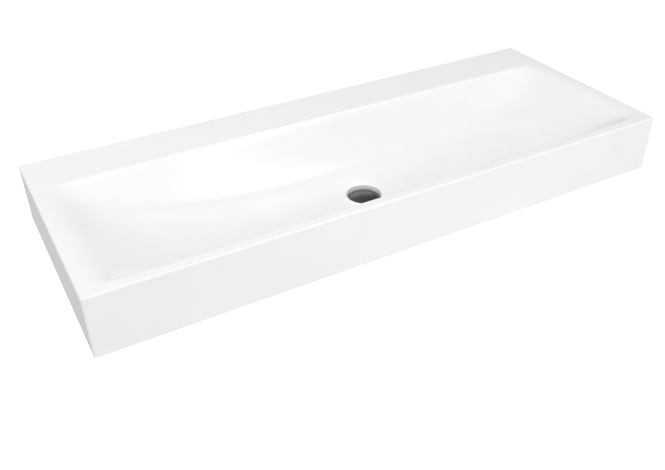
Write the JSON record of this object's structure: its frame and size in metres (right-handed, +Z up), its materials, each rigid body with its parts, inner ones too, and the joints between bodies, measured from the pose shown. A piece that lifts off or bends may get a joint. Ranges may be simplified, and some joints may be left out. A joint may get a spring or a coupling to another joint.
{
  "type": "wall-hung washbasin",
  "caption": "Long wall-hung washbasin of white enamelled steel with a flat rear ledge, a trough bowl whose ends slope up softly, and a push-open waste with a dark chrome cap.",
  "frame": {"origin": "on the wall plane, midway between the two wall fixings", "axes": "+X right as seen from the front along the basin's length, +Y into the wall, +Z up"},
  "size_m": [1.2, 0.46, 0.19],
  "materials": {
    "enamel": "gloss white vitreous enamel on steel sheet",
    "galvanised_steel": "galvanised, dull",
    "zinc_fasteners": "bright zinc plated",
    "bush_plastic": "moulded, satin",
    "damping_sheet": "felt-faced bitumen sheet, dull",
    "chromed_brass": "polished chrome plate on brass",
    "dark_chrome": "satin dark chrome plate on brass",
    "bare_brass": "machined brass",
    "black_rubber": "moulded rubber",
    "white_plastic": "natural moulded plastic",
    "grey_plastic": "moulded acetal",
    "spring_steel": "drawn stainless wire"
  },
  "bodies": {
    "basin": {"basin_shell": "enamel", "left_wall_bracket": "galvanised_steel", "right_wall_bracket": "galvanised_steel", "bracket_studs": "zinc_fasteners", "bracket_washers": "zinc_fasteners", "bracket_nuts": "zinc_fasteners", "wall_bushes": "bush_plastic", "left_damping_pad": "damping_sheet", "right_damping_pad": "damping_sheet", "waste_body": "chromed_brass", "back_nut": "bare_brass", "flange_seal": "black_rubber", "under_seal": "black_rubber", "slip_washer": "white_plastic", "cartridge_end_plug": "white_plastic", "cartridge_body": "grey_plastic", "cartridge_spring": "spring_steel"},
    "plug": {"plug_cap": "dark_chrome", "plug_seal": "black_rubber", "plunger_stem": "bare_brass", "index_ring": "white_plastic"}
  },
  "joints": [
    {"name": "plug_press", "type": "slide", "parent": "basin", "child": "plug", "axis": [0, 0, 1], "range_m": [-0.0055, 0], "stiffness_N_per_m": 900, "springref_m": 0.009, "deforming": ["cartridge_spring"]}
  ]
}
